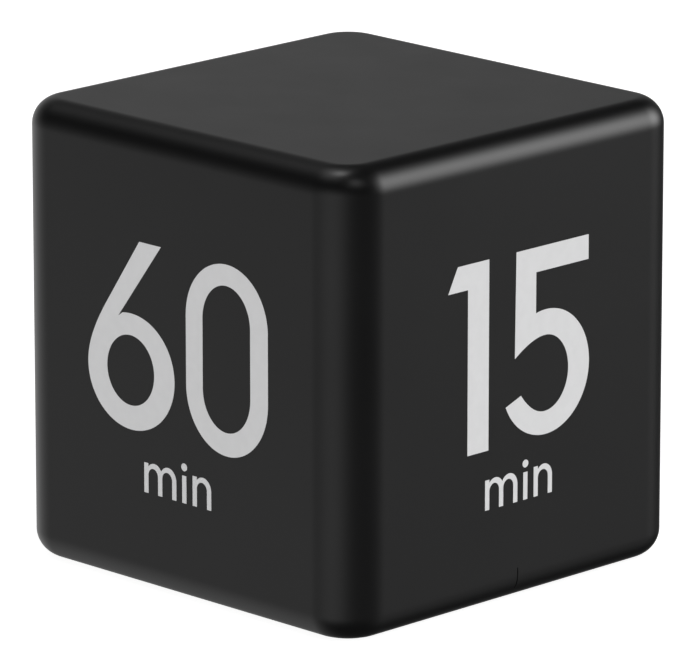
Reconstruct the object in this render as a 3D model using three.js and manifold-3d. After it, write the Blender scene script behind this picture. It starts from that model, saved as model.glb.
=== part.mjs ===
// Cube kitchen timer: a 64 mm cube that counts down when it is turned with a number uppermost.
// Four upright faces carry the printed minutes, the top face is blank, and the face it stands on
// holds the display window, the volume switch and the battery door.
// Frame: millimetres, +Z up, origin at the middle of the face it stands on.
import * as THREE from "three";
import { mergeVertices } from "three/addons/utils/BufferGeometryUtils.js";
import Module from "manifold-3d";

const wasm = await Module();
wasm.setup();

// ---------------------------------------------------------------- driving dimensions
const CUBE = 64; // side of the cube
const WALL = 2.4; // moulded wall of the case and the cover
const CORNER_R = 6.75; // rounding of the four upright edges
const RIM_R = 3.75; // rounding around the top and bottom faces
const FIT = 0.25; // clearance between two fitted mouldings
const TOUCH = 0.1; // gap drawn between two pieces that bear on each other
const SLIT = { width: 0.25, depth: 0.3, height: 4.7 }; // mould slit under the "15" face

const CORNER_SIDES = 10; // facets in a quarter turn of an upright edge
const RIM_SIDES = 6; // facets in a quarter turn of a rim

const HALF = CUBE / 2;
const CAVITY_HALF = HALF - WALL;
const CAVITY_R = CORNER_R - WALL;
const CEILING = CUBE - WALL;
const COVER_HALF = CAVITY_HALF - FIT;
const COVER_R = CAVITY_R - FIT;

// Screws: a self-tapping pan-head screw at each corner, and three shorter ones for the board.
const COVER_SCREW = { headR: 2, headH: 1.6, shankR: 1.1, length: 9.4, slotR: 1.3 };
const BOARD_SCREW = { headR: 1.9, headH: 1.3, shankR: 0.75, length: 5, slotR: 1.1 };
const PILLAR = { at: HALF - CORNER_R, r: 3.2, foot: 7.3, rib: 1.2, bore: 1.35, boreDepth: 9 };
const COVER_POST = { top: 7, pocketR: 2.5, pocketTop: 4.6, holeR: 1.35 };

// Two AAA cells lie side by side in a bay moulded into the cover.
const CELL = { r: 5.25, length: 44.5, nubR: 1.9, nubH: 1, pitch: 10.9, z: 7.5 };
const NUB_ROOM = 0.8; // nub, contact plate and their gaps
const SPRING_ROOM = 6.1; // compressed spring, contact plate and their gaps
const BAY = {
  halfX: (CELL.length + NUB_ROOM + SPRING_ROOM) / 2,
  halfY: CELL.pitch + 0.2,
  y: -9.2,
  roof: 13.3,
  wall: 1.3,
};
const CELL_SHIFT = BAY.halfX - NUB_ROOM - CELL.length / 2;

// The battery door turns out on two tabs along the bay's far edge.
const DOOR = { step: 1, depth: 1.5, thick: 1.3, sink: 0.05, tabX: 14, tabW: 5, tabL: 1.55 };
const DOOR_LOW_Y = BAY.y - BAY.halfY - DOOR.step;
const DOOR_HIGH_Y = BAY.y + BAY.halfY + DOOR.step;
const LATCH = { width: 8, thick: 0.7, top: 4.2, hook: 0.5, setback: 1.4, room: 0.4 };
const TAB = { low: 0.6, pocket: [0.45, 2], room: 0.4 }; // heights of the tabs and their pockets
const SCOOP = { r: 6, beyond: 1.7, depth: 1.1 }; // nail scoop at the latch

// Display: a clear window, a two-plate glass, a carrier frame and an elastomer strip.
const WINDOW = { w: 38, h: 19.6, r: 1.6, thick: 1.1, sink: 0.15, seat: 1.4, y: 15.4 };
const VIEW = { w: 34, h: 15.6, r: 1 }; // opening in the cover behind the window
const GLASS = { w: 37, h: 19, thick: 1.1, z: 2.6, ledge: 3 };
const FRAME = { wall: 1.5, top: 8.2, flange: 1, flangeZ: 5.4 };
const ZEBRA = { w: 35, thick: 2.2 };
const GLASS_GAP = 0.02; // layer of liquid crystal between the plates
const REFLECTOR = { inset: 0.6, z: [2.3, 2.6] };

// Main board above the display, standing on three posts of the cover.
const BOARD = { z: 8.4, thick: 1.2, halfX: 28.4, lowY: 3.7, highY: 28.4, notch: 21.4 };
const BOARD_TOP = BOARD.z + BOARD.thick;
const POSTS = [
  [24.5, 7],
  [24.5, 18.6],
  [-24.5, 19.8],
];
const POST = { r: 2.2, boreR: 0.95, floor: 3.5 };

// Three-position slide switch: off, low and high, one pitch apart along +Y.
const SWITCH = { x: -24.5, y: 10.9, pitch: 1.5, dishW: 5.2, dishL: 11.2, dishDepth: 1 };
const KNOB = { w: 3, l: 3, plateW: 5, plateL: 9.2, top: 0.35, ridges: 4 };
const SWITCH_CAN = { w: 5.8, l: 9.8, low: 4.5, high: 8.3 };

// Sound holes in the cover, and the piezo disc glued in a ring under the ceiling.
const SOUND = { x: 24.5, y: 12.8, ring: 2.2, r: 0.6, around: 6 };
const BUZZER = { discR: 13.5, discT: 0.35, ceramicR: 9.5, ringR: 15.5, ringH: 3, ledgeR: 12 };

// Two-way ball sensors, one along X and one along Y: a steel ball rolls on a common strip to the
// lower end of its channel and meets the contact there.
const SENSOR = { l: 9.6, w: 4.8, foot: 0.4, top: 4.9, channelL: 8.2, channelW: 3.4, floor: 1.2 };
const STRIP = { l: 5.8, w: 1.2, z: 1.3, sheet: 0.25 };
const BALL = { r: 1.5, travel: 2 };
const SENSORS = [
  { name: "x", at: [0, 8.2], turn: 0 },
  { name: "y", at: [0, 18.2], turn: Math.PI / 2 },
];

// ---------------------------------------------------------------- solids
// A closed three.js geometry as a manifold-3d solid, without its triangles of no area.
function solid(geometry) {
  const bare = geometry.clone();
  bare.deleteAttribute("normal");
  bare.deleteAttribute("uv");
  const merged = mergeVertices(bare, 1e-4);
  const index = merged.index.array;
  const kept = [];
  for (let i = 0; i < index.length; i += 3) {
    const [a, b, c] = [index[i], index[i + 1], index[i + 2]];
    if (a !== b && b !== c && c !== a) kept.push(a, b, c);
  }
  return new wasm.Manifold(
    new wasm.Mesh({
      numProp: 3,
      vertProperties: merged.attributes.position.array,
      triVerts: new Uint32Array(kept),
    }),
  );
}

// A manifold-3d solid as a flat-shaded three.js geometry.
function geometryOf(body) {
  const mesh = body.getMesh();
  const points = new Float32Array(mesh.numVert * 3);
  for (let i = 0; i < mesh.numVert; i++) {
    points.set(mesh.vertProperties.subarray(i * mesh.numProp, i * mesh.numProp + 3), i * 3);
  }
  const indexed = new THREE.BufferGeometry()
    .setAttribute("position", new THREE.BufferAttribute(points, 3))
    .setIndex(new THREE.BufferAttribute(mesh.triVerts, 1));
  const flat = indexed.toNonIndexed();
  flat.computeVertexNormals();
  return flat;
}

const join = (...bodies) => bodies.reduce((whole, body) => whole.add(body));
const cut = (body, ...tools) => tools.reduce((rest, tool) => rest.subtract(tool), body);

// A box from its lowest and highest x, y and z.
function block([x0, x1], [y0, y1], [z0, z1]) {
  const box = new THREE.BoxGeometry(x1 - x0, y1 - y0, z1 - z0);
  return solid(box.translate((x0 + x1) / 2, (y0 + y1) / 2, (z0 + z1) / 2));
}

// A box of a given width and length about a point in plan.
const blockAt = (x, y, w, l, z) => block([x - w / 2, x + w / 2], [y - l / 2, y + l / 2], z);

// An upright cylinder about a point in plan.
function rod(x, y, r, [z0, z1], sides = 20) {
  const cylinder = new THREE.CylinderGeometry(r, r, z1 - z0, sides).rotateX(Math.PI / 2);
  return solid(cylinder.translate(x, y, (z0 + z1) / 2));
}

// A solid of revolution about +Z from [radius, height] pairs that run up the outside.
function turned(profile, sides = 20) {
  const points = profile.map(([r, z]) => new THREE.Vector2(r, z));
  return solid(new THREE.LatheGeometry(points, sides).rotateX(Math.PI / 2));
}

// An upright prism with a rounded rectangular outline about a point in plan.
function roundedPrism(x, y, w, l, r, [z0, z1], sides = 6) {
  const shape = new THREE.Shape();
  const [cx, cy] = [w / 2 - r, l / 2 - r];
  shape.absarc(cx, cy, r, 0, Math.PI / 2);
  shape.absarc(-cx, cy, r, Math.PI / 2, Math.PI);
  shape.absarc(-cx, -cy, r, Math.PI, 1.5 * Math.PI);
  shape.absarc(cx, -cy, r, 1.5 * Math.PI, 2 * Math.PI);
  shape.closePath();
  const settings = { depth: z1 - z0, bevelEnabled: false, curveSegments: sides };
  return solid(new THREE.ExtrudeGeometry(shape, settings).translate(x, y, z0));
}

// A rounded square outline at one height, as points in anticlockwise order.
function squareLoop(half, r, z) {
  const points = [];
  for (let corner = 0; corner < 4; corner++) {
    const start = (corner * Math.PI) / 2;
    const [sx, sy] = [[1, 1], [-1, 1], [-1, -1], [1, -1]][corner];
    for (let i = 0; i <= CORNER_SIDES; i++) {
      const a = start + (i * Math.PI) / (2 * CORNER_SIDES);
      const x = sx * (half - r) + r * Math.cos(a);
      const y = sy * (half - r) + r * Math.sin(a);
      points.push(x, y, z);
    }
  }
  return points;
}

// A closed skin over a stack of loops with the same number of points, lowest first.
function skin(loops) {
  const count = loops[0].length / 3;
  const index = [];
  for (let level = 0; level + 1 < loops.length; level++) {
    for (let i = 0; i < count; i++) {
      const [a, b] = [level * count + i, level * count + ((i + 1) % count)];
      index.push(a, b, b + count, a, b + count, a + count);
    }
  }
  const top = (loops.length - 1) * count;
  for (let i = 1; i + 1 < count; i++) {
    index.push(0, i + 1, i, top, top + i, top + i + 1);
  }
  const geometry = new THREE.BufferGeometry()
    .setAttribute("position", new THREE.Float32BufferAttribute(loops.flat(), 3))
    .setIndex(index);
  return solid(geometry);
}

// The outside of the cube: upright edges of CORNER_R, rims of RIM_R.
function cubeBody() {
  const loops = [];
  for (let i = 0; i <= RIM_SIDES; i++) {
    const a = (i * Math.PI) / (2 * RIM_SIDES);
    const inset = RIM_R * (1 - Math.sin(a));
    loops.push(squareLoop(HALF - inset, CORNER_R - inset, RIM_R * (1 - Math.cos(a))));
  }
  for (let i = RIM_SIDES; i >= 0; i--) {
    const a = (i * Math.PI) / (2 * RIM_SIDES);
    const inset = RIM_R * (1 - Math.sin(a));
    loops.push(squareLoop(HALF - inset, CORNER_R - inset, CUBE - RIM_R * (1 - Math.cos(a))));
  }
  return skin(loops);
}

// A round section of a few sides carried along a curve, with closed ends.
function tube(curve, r, steps, sides = 8) {
  const ring = [];
  for (let i = 0; i < sides; i++) {
    const a = (2 * Math.PI * i) / sides;
    ring.push(new THREE.Vector2(r * Math.cos(a), r * Math.sin(a)));
  }
  return new THREE.ExtrudeGeometry(new THREE.Shape(ring), { steps, extrudePath: curve });
}

const CORNERS = [[1, 1], [-1, 1], [-1, -1], [1, -1]];
const DRILL = 1; // how far a cutting tool runs past the material

// ---------------------------------------------------------------- case
// Five-sided case: the blank top and the four number faces, with screw pillars in the corners
// and a ring under the ceiling for the piezo disc.
function caseShell() {
  const round = 1.5;
  const cavity = [squareLoop(CAVITY_HALF, CAVITY_R, -DRILL)];
  for (let i = 0; i <= 3; i++) {
    const a = (i * Math.PI) / 6;
    const inset = round * (1 - Math.cos(a));
    cavity.push(squareLoop(CAVITY_HALF - inset, CAVITY_R - inset, CEILING - round * (1 - Math.sin(a))));
  }
  let shell = cut(cubeBody(), skin(cavity));
  const tall = [PILLAR.foot, CEILING + DRILL];
  for (const [sx, sy] of CORNERS) {
    const [x, y] = [sx * PILLAR.at, sy * PILLAR.at];
    const reach = CAVITY_HALF + DRILL - PILLAR.at;
    const ribX = blockAt(x + (sx * reach) / 2, y, reach, PILLAR.rib, tall);
    const ribY = blockAt(x, y + (sy * reach) / 2, PILLAR.rib, reach, tall);
    shell = join(shell, rod(x, y, PILLAR.r, tall), ribX, ribY);
    const bore = [PILLAR.foot - DRILL, PILLAR.foot + PILLAR.boreDepth];
    shell = cut(shell, rod(x, y, PILLAR.bore, bore, 16));
  }
  const ring = turned([
    [BUZZER.ledgeR, CEILING + DRILL],
    [BUZZER.ledgeR, CEILING - BUZZER.ringH / 2],
    [BUZZER.discR + FIT, CEILING - BUZZER.ringH / 2],
    [BUZZER.discR + FIT, CEILING - BUZZER.ringH],
    [BUZZER.ringR, CEILING - BUZZER.ringH],
    [BUZZER.ringR, CEILING + DRILL],
    [BUZZER.ledgeR, CEILING + DRILL],
  ], 36);
  const slitX = [HALF - SLIT.depth, HALF + DRILL];
  const slit = block(slitX, [-SLIT.width / 2, SLIT.width / 2], [-DRILL, SLIT.height]);
  return cut(join(shell, ring), slit);
}

// Cover: the face the cube stands on, with the battery bay, the window, the switch dish,
// the sound holes, four screw posts and three board posts moulded in.
function bottomCover() {
  const through = [-DRILL, WALL + DRILL];
  let cover = cubeBody().intersect(skin([
    squareLoop(COVER_HALF, COVER_R, -DRILL),
    squareLoop(COVER_HALF, COVER_R, WALL),
  ]));
  const bayW = 2 * BAY.halfX;
  const bayL = 2 * BAY.halfY;
  const base = WALL - DRILL;
  const bayTop = [base, BAY.roof + BAY.wall];
  cover = join(cover, blockAt(0, BAY.y, bayW + 2 * BAY.wall, bayL + 2 * BAY.wall, bayTop));
  for (const [sx, sy] of CORNERS) {
    cover = join(cover, rod(sx * PILLAR.at, sy * PILLAR.at, PILLAR.r, [base, COVER_POST.top]));
  }
  for (const [x, y] of POSTS) {
    cover = join(cover, rod(x, y, POST.r, [base, BOARD.z - TOUCH], 16));
    cover = cut(cover, rod(x, y, POST.boreR, [POST.floor, BOARD.z + DRILL], 12));
  }
  for (const [sx, sy] of CORNERS) {
    const [x, y] = [sx * PILLAR.at, sy * PILLAR.at];
    const pocket = rod(x, y, COVER_POST.pocketR, [-DRILL, COVER_POST.pocketTop]);
    cover = cut(cover, pocket, rod(x, y, COVER_POST.holeR, [0, COVER_POST.top + DRILL], 16));
  }
  // Battery bay, the step the door sits on, the tab pockets, the latch pocket and the nail scoop.
  cover = cut(cover, blockAt(0, BAY.y, bayW, bayL, [-DRILL, BAY.roof]));
  const doorMiddle = (DOOR_LOW_Y + DOOR_HIGH_Y) / 2;
  const stepW = bayW + 2 * DOOR.step;
  cover = cut(cover, blockAt(0, doorMiddle, stepW, DOOR_HIGH_Y - DOOR_LOW_Y, [-DRILL, DOOR.depth]));
  for (const side of [-1, 1]) {
    const tabY = [DOOR_LOW_Y - DOOR.tabL - TOUCH, DOOR_LOW_Y + 1.4];
    const reach = DOOR.tabW / 2 + TAB.room;
    const tabX = [side * DOOR.tabX - reach, side * DOOR.tabX + reach];
    cover = cut(cover, block(tabX, tabY, TAB.pocket));
  }
  const latchY = [BAY.y + BAY.halfY - DRILL, BAY.y + BAY.halfY + 1];
  const latchX = [-LATCH.width / 2 - LATCH.room, LATCH.width / 2 + LATCH.room];
  cover = cut(cover, block(latchX, latchY, [-DRILL, LATCH.top + 2 * LATCH.room]));
  const scoopY = DOOR_HIGH_Y + SCOOP.beyond - SCOOP.r;
  cover = cut(cover, rod(0, scoopY, SCOOP.r, [-DRILL, SCOOP.depth], 40));
  // A low rib under the bay's roof keeps the two cells apart.
  cover = join(cover, blockAt(0, BAY.y, 30, 0.3, [CELL.z + 3.4, BAY.roof + DRILL / 2]));
  // Slots in the bay's roof for the solder tabs of the two outgoing contacts.
  for (const side of [-1, 1]) {
    const slotY = BAY.y + (side * CELL.pitch) / 2;
    const slotZ = [BAY.roof - DRILL, BAY.roof + 3];
    cover = cut(cover, blockAt(BAY.halfX - 0.4, slotY, 0.9, 2.8, slotZ));
  }
  // Window step and view, switch dish and slot, sound holes.
  const [seatW, seatH] = [WINDOW.w + 2 * FIT, WINDOW.h + 2 * FIT];
  const seat = roundedPrism(0, WINDOW.y, seatW, seatH, WINDOW.r + FIT, [-DRILL, WINDOW.seat]);
  cover = cut(cover, seat, roundedPrism(0, WINDOW.y, VIEW.w, VIEW.h, VIEW.r, through));
  const { x: dishX, y: dishY, dishW, dishL, dishDepth } = SWITCH;
  const dish = roundedPrism(dishX, dishY, dishW, dishL, dishW / 2 - 0.01, [-DRILL, dishDepth]);
  const slotL = KNOB.l + 2 * SWITCH.pitch + 0.3;
  cover = cut(cover, dish, blockAt(SWITCH.x, SWITCH.y, KNOB.w + 0.4, slotL, through));
  cover = cut(cover, rod(SOUND.x, SOUND.y, SOUND.r, through, 10));
  for (let i = 0; i < SOUND.around; i++) {
    const a = (2 * Math.PI * i) / SOUND.around;
    const [x, y] = [SOUND.x + SOUND.ring * Math.cos(a), SOUND.y + SOUND.ring * Math.sin(a)];
    cover = cut(cover, rod(x, y, SOUND.r, through, 10));
  }
  return cover;
}

// A pan-head screw with a cross recess, drawn about its own axis: the head's bearing face is at
// z = 0, the head below it and the shank above it.
function screw({ headR, headH, shankR, length, slotR }) {
  const body = turned([
    [0, -headH],
    [headR * 0.8, -headH],
    [headR, -headH * 0.7],
    [headR, 0],
    [shankR, 0],
    [shankR, length - shankR],
    [0, length],
  ], 16);
  const deep = [-headH - DRILL, -headH * 0.4];
  const wide = headR * 0.22;
  return cut(body, blockAt(0, 0, 2 * slotR, wide, deep), blockAt(0, 0, wide, 2 * slotR, deep));
}

// Clear acrylic window, flush in its step.
function displayWindow() {
  const z = [WINDOW.sink, WINDOW.sink + WINDOW.thick];
  return roundedPrism(0, 0, WINDOW.w, WINDOW.h, WINDOW.r, z);
}

// ---------------------------------------------------------------- battery door
// Door drawn about its turning edge: y runs from the tabs to the latch, z up into the bay.
function batteryDoor() {
  const bottom = 0;
  const top = DOOR.thick;
  const halfX = BAY.halfX + DOOR.step - FIT;
  const far = DOOR_HIGH_Y - DOOR_LOW_Y - FIT;
  let door = block([-halfX, halfX], [FIT, far], [bottom, top]);
  for (const side of [-1, 1]) {
    door = join(door, block(
      [side * DOOR.tabX - DOOR.tabW / 2, side * DOOR.tabX + DOOR.tabW / 2],
      [FIT - DOOR.tabL, 2 * FIT],
      [TAB.low, top],
    ));
    const ribY = BAY.y + (side * CELL.pitch) / 2 - DOOR_LOW_Y;
    door = join(door, blockAt(0, ribY, 40, 1, [top / 2, top + 0.6]));
  }
  // Spring latch: a tongue with a hook, freed from the door by two slits.
  const root = far - 2.3;
  const tip = LATCH.top - DOOR.sink;
  const latchX = [-LATCH.width / 2, LATCH.width / 2];
  const back = far - LATCH.setback;
  const tongue = block(latchX, [back, back + LATCH.thick], [0, tip]);
  const hook = block(latchX, [back + 0.1, back + LATCH.thick + LATCH.hook], [tip - 1, tip]);
  for (const side of [-1, 1]) {
    const x = side * (LATCH.width / 2 + 0.5);
    door = cut(door, block([x - 0.3, x + 0.3], [root - 3, far - 0.9], [-DRILL, top + DRILL]));
  }
  const grip = [-1.2, 0, 1.2].map((dy) => blockAt(0, root - 1.6 + dy, 6, 0.5, [-DRILL, 0.3]));
  return cut(join(door, tongue, hook), ...grip);
}

// ---------------------------------------------------------------- display
const glassFront = () => blockAt(0, 0, GLASS.w, GLASS.h, [0, GLASS.thick]);

// The rear plate is shorter, and leaves the front plate's contact ledge bare.
function glassRear() {
  const l = GLASS.h - GLASS.ledge;
  const low = GLASS.thick + GLASS_GAP;
  return blockAt(0, -GLASS.ledge / 2, GLASS.w, l, [low, low + GLASS.thick]);
}

const reflector = () => {
  const [w, l] = [GLASS.w - REFLECTOR.inset, GLASS.h - GLASS.ledge - REFLECTOR.inset];
  return blockAt(0, -GLASS.ledge / 2, w, l, REFLECTOR.z);
};

const zebraStrip = () => {
  const y = (GLASS.h - ZEBRA.thick) / 2 - 0.4;
  return blockAt(0, y, ZEBRA.w, ZEBRA.thick, [GLASS.thick + TOUCH, BOARD.z - GLASS.z - TOUCH]);
};

// Carrier frame: walls around the glass, a flange behind it and a slot for the strip.
function displayFrame() {
  const outerW = GLASS.w + 2 * (0.3 + FRAME.wall);
  const outerL = GLASS.h + 2 * (0.3 + FRAME.wall);
  const top = FRAME.top - GLASS.z;
  const flange = FRAME.flangeZ - GLASS.z;
  let frame = blockAt(0, 0, outerW, outerL, [0, top]);
  frame = cut(frame, blockAt(0, 0, GLASS.w + 0.6, GLASS.h + 0.6, [-DRILL, flange]));
  frame = cut(frame, blockAt(0, 0, GLASS.w - 4, GLASS.h - 8, [-DRILL, top + DRILL]));
  frame = cut(frame, blockAt(0, 0, GLASS.w - 1, GLASS.h - 5.6, [flange + FRAME.flange, top + DRILL]));
  const slotY = (GLASS.h - ZEBRA.thick) / 2 - 0.4;
  return cut(frame, blockAt(0, slotY, ZEBRA.w + 0.5, ZEBRA.thick + 0.5, [-DRILL, top + DRILL]));
}

// ---------------------------------------------------------------- board
// Main board, drawn in the part's frame, with holes for its screws and notches for two pillars.
function mainBoard() {
  const z = [BOARD.z, BOARD_TOP];
  const deep = [BOARD.z - DRILL, BOARD_TOP + DRILL];
  let board = block([-BOARD.halfX, BOARD.halfX], [BOARD.lowY, BOARD.highY], z);
  for (const side of [-1, 1]) {
    const x = side > 0 ? [BOARD.notch, BOARD.halfX + DRILL] : [-BOARD.halfX - DRILL, -BOARD.notch];
    board = cut(board, block(x, [BOARD.notch, BOARD.highY + DRILL], deep));
  }
  for (const [x, y] of POSTS) board = cut(board, rod(x, y, 1.1, deep, 16));
  return board;
}

// Moulded epoxy blob over the bonded controller chip.
const controllerBlob = () => turned([[0, 0], [5, 0], [4.7, 0.7], [3.8, 1.4], [2.2, 1.8], [0, 1.9]], 24);

// Watch crystal lying on its side, with its end flange.
const crystal = () => turned([[0, 0], [1, 0], [1, 5.2], [1.15, 5.3], [1.15, 6], [0, 6]], 16);

// Standing electrolytic capacitor, with the groove near its foot.
const capacitor = () => turned([
  [0, 0], [2.4, 0], [2.5, 0.3], [2.5, 1.1], [2.2, 1.4], [2.5, 1.7], [2.5, 6.6], [2.2, 7], [0, 7],
], 20);

// Three-legged drum coil that raises the piezo's voltage.
const boostCoil = () => turned([
  [0, 0], [3, 0], [3, 0.9], [2.2, 1], [2.2, 5.9], [3, 6], [3, 7], [0, 7],
], 20);

const chipResistor = () => blockAt(0, 0, 3.2, 1.6, [0, 0.6]);

// Small-outline transistor with its three gull-wing legs.
function transistor() {
  let body = blockAt(0, 0, 2.9, 1.3, [0.1, 1.1]);
  for (const [x, y] of [[-0.95, -1.05], [0.95, -1.05], [0, 1.05]]) {
    const foot = blockAt(x, y, 0.4, 0.9, [0, 0.25]);
    const knee = blockAt(x, y - Math.sign(y) * 0.35, 0.4, 0.3, [0, 0.5]);
    body = join(body, foot, knee);
  }
  return body;
}

// ---------------------------------------------------------------- slide switch
// The pieces that stay with the board are drawn about the switch's middle position.
function switchCan() {
  const { w, l, low, high } = SWITCH_CAN;
  const can = blockAt(0, 0, w, l, [low, high - 1.6]);
  const inside = blockAt(0, 0, w - 0.6, l - 0.6, [low + 0.3, high]);
  return cut(can, inside, blockAt(0, 0, 2, 2.2 + 2 * SWITCH.pitch, [low - DRILL, high]));
}

const switchBase = () => {
  const { w, l, high } = SWITCH_CAN;
  return blockAt(0, 0, w, l, [high - 1.5, high]);
};

// The pieces that slide are drawn about the knob.
function switchLever() {
  const shoe = blockAt(0, 0, 4.2, 4.4, [SWITCH_CAN.low + 0.5, SWITCH_CAN.low + 1.7]);
  return join(shoe, blockAt(0, 0, 1.4, 1.8, [3.1, SWITCH_CAN.low + 1]));
}

function switchKnob() {
  const plate = [WALL + 0.15, WALL + 0.95];
  let knob = join(
    blockAt(0, 0, KNOB.plateW, KNOB.plateL, plate),
    blockAt(0, 0, KNOB.w, KNOB.l, [KNOB.top, WALL + 0.5]),
    blockAt(0, 0, 3.4, 4.2, [WALL + 0.5, SWITCH_CAN.low - 0.3]),
  );
  for (let i = 0; i < KNOB.ridges; i++) {
    const y = (i - (KNOB.ridges - 1) / 2) * 0.75;
    knob = cut(knob, blockAt(0, y, KNOB.w + DRILL, 0.3, [0, KNOB.top + 0.35]));
  }
  return cut(knob, blockAt(0, 0, 1.9, 2.3, [2.85, SWITCH_CAN.low]));
}

// ---------------------------------------------------------------- tilt sensors
// Drawn about the middle of its foot, with the channel along X.
const END_CONTACT_X = BALL.travel + BALL.r + TOUCH;

function sensorCase() {
  const { l, w, foot, top, channelL, channelW, floor } = SENSOR;
  const through = [foot - DRILL, floor + DRILL];
  let box = blockAt(0, 0, l, w, [foot, top]);
  box = cut(box, blockAt(0, 0, channelL, channelW, [floor, top + DRILL]));
  for (const side of [-1, 1]) {
    box = cut(box, blockAt(side * (END_CONTACT_X + STRIP.sheet / 2), 0, 0.55, 2.7, through));
  }
  return cut(box, blockAt(0, 0, 1.3, 0.9, through));
}

function sensorLid() {
  const z = SENSOR.top + TOUCH;
  const plug = blockAt(0, 0, SENSOR.channelL - 0.5, SENSOR.channelW - 0.4, [z - 0.2, z + 0.2]);
  return join(blockAt(0, 0, SENSOR.l, SENSOR.w, [z, z + 0.6]), plug);
}

// Common strip under the ball, with a leg and a solder foot to one side.
function sensorStrip() {
  const { l, w, z, sheet } = STRIP;
  const leg = blockAt(0, 0, 1, 0.6, [0, z + sheet / 2]);
  const foot = block([-0.5, 0.5], [-SENSOR.w / 2 - 1, 0.3], [0, sheet]);
  return join(blockAt(0, 0, l, w, [z, z + sheet]), leg, foot);
}

// End contact at the +X end, with its solder foot outwards.
function sensorContact() {
  const x = END_CONTACT_X;
  const plate = block([x, x + STRIP.sheet], [-1.2, 1.2], [0, SENSOR.top - 0.6]);
  return join(plate, block([x, SENSOR.l / 2 + 0.7], [-1.2, 1.2], [0, STRIP.sheet]));
}

const sensorBall = () => solid(new THREE.SphereGeometry(BALL.r, 16, 10));

// ---------------------------------------------------------------- battery contacts
// A dry cell along +X, from the middle of its length, with the nub at the +X end.
function cell() {
  const { r, length, nubR, nubH } = CELL;
  const end = length - nubH;
  const profile = turned([
    [0, 0], [r - 0.9, 0], [r - 0.2, 0.2], [r, 0.6], [r, end - 0.8], [r - 0.25, end - 0.2],
    [r - 1, end], [nubR, end], [nubR, length - 0.2], [nubR - 0.3, length], [0, length],
  ], 24);
  return profile.rotate([0, 90, 0]).translate([-length / 2, 0, 0]);
}

const SHEET = 0.4; // contact sheet metal
const CONTACT_X = BAY.halfX - TOUCH - SHEET; // inner face of a contact from the bay's middle
const CONTACT_Z = [3.4, 12.2];

// The bridging contact at the -X end, with a dimple for the nub of the second cell.
function contactLink() {
  const plate = block([0, SHEET], [-10.4, 10.4], CONTACT_Z);
  return join(plate, dimple(CELL.pitch / 2));
}

// An outgoing contact at the +X end, with its solder tab through the bay's roof.
function contactOut(withDimple) {
  const plate = block([0, SHEET], [-4.5, 4.5], CONTACT_Z);
  const tab = block([0, SHEET], [-1, 1], [CONTACT_Z[1] - 0.5, BAY.roof + BAY.wall + 2]);
  const contact = join(plate, tab);
  return withDimple ? join(contact, dimple(0)) : contact;
}

// A shallow pressed dimple that meets a cell's nub.
function dimple(y) {
  const cap = turned([[0, 0], [2.2, 0], [1.4, 0.22], [0, 0.22]], 16);
  return cap.rotate([0, -90, 0]).translate([TOUCH / 2, y, CELL.z]);
}

// A conical contact spring along +X, widest at its foot.
const SPRING = { footR: 3.6, tipR: 2.1, wireR: 0.33, turns: 4.5, length: SPRING_ROOM - 0.9 };
class SpringLine extends THREE.Curve {
  getPoint(t, target = new THREE.Vector3()) {
    const a = 2 * Math.PI * SPRING.turns * t;
    const r = SPRING.footR + (SPRING.tipR - SPRING.footR) * t;
    const x = SPRING.wireR + t * (SPRING.length - 2 * SPRING.wireR);
    return target.set(x, r * Math.cos(a), r * Math.sin(a));
  }
}
const contactSpring = () => solid(tube(new SpringLine(), SPRING.wireR, 72, 6));

// ---------------------------------------------------------------- wires
const WIRE_R = 0.6;
const WIRES = {
  battery_wire_red: [
    [24.5, -14.6, 16.1], [22.4, -12.6, 16.9], [19, -6, 16.6], [17.6, 1.5, 16.6],
    [17.6, 4.8, 14.6], [17.8, 6, 12], [17.8, 6.2, 9.9],
  ],
  battery_wire_black: [
    [24.5, -3.8, 16.1], [23.4, -1.6, 16.9], [22.2, 1.6, 16.6], [20.8, 6, 15.6],
    [19.6, 9.6, 13.4], [19.4, 10.5, 11.4], [19.4, 10.6, 9.9],
  ],
  buzzer_wire_red: [
    [16.5, 25.5, 9.9], [16.5, 25.6, 13], [14.5, 24, 22], [9, 17, 33],
    [3, 8, 44], [0, 3.5, 52], [0, 3, 58.6],
  ],
  buzzer_wire_black: [
    [19, 25.5, 9.9], [19, 25.6, 13], [17.5, 24.6, 23], [14, 20, 34],
    [11.5, 12, 45], [11, 4, 53], [11, 1.5, 58.9],
  ],
};

function wire(points) {
  const line = new THREE.CatmullRomCurve3(points.map((p) => new THREE.Vector3(...p)), false, "centripetal");
  return solid(tube(line, WIRE_R, 26));
}

// ---------------------------------------------------------------- buzzer
// Drawn from the ceiling down: brass disc, ceramic layer and the bead of glue around them.
const DISC_Z = -BUZZER.ringH / 2 - TOUCH;
const buzzerDisc = () => rod(0, 0, BUZZER.discR, [DISC_Z - BUZZER.discT, DISC_Z], 36);
const buzzerCeramic = () => rod(0, 0, BUZZER.ceramicR, [DISC_Z - 0.65, DISC_Z - 0.4], 32);

function buzzerGlue() {
  const top = DISC_Z - BUZZER.discT - TOUCH / 2;
  const [outer, inner] = [BUZZER.discR + 0.1, BUZZER.discR - 2];
  return turned([
    [inner, top],
    [inner, top - 0.3],
    [inner + 0.8, top - 0.8],
    [outer, top - 0.8],
    [outer, top],
    [inner, top],
  ], 36);
}

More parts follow.
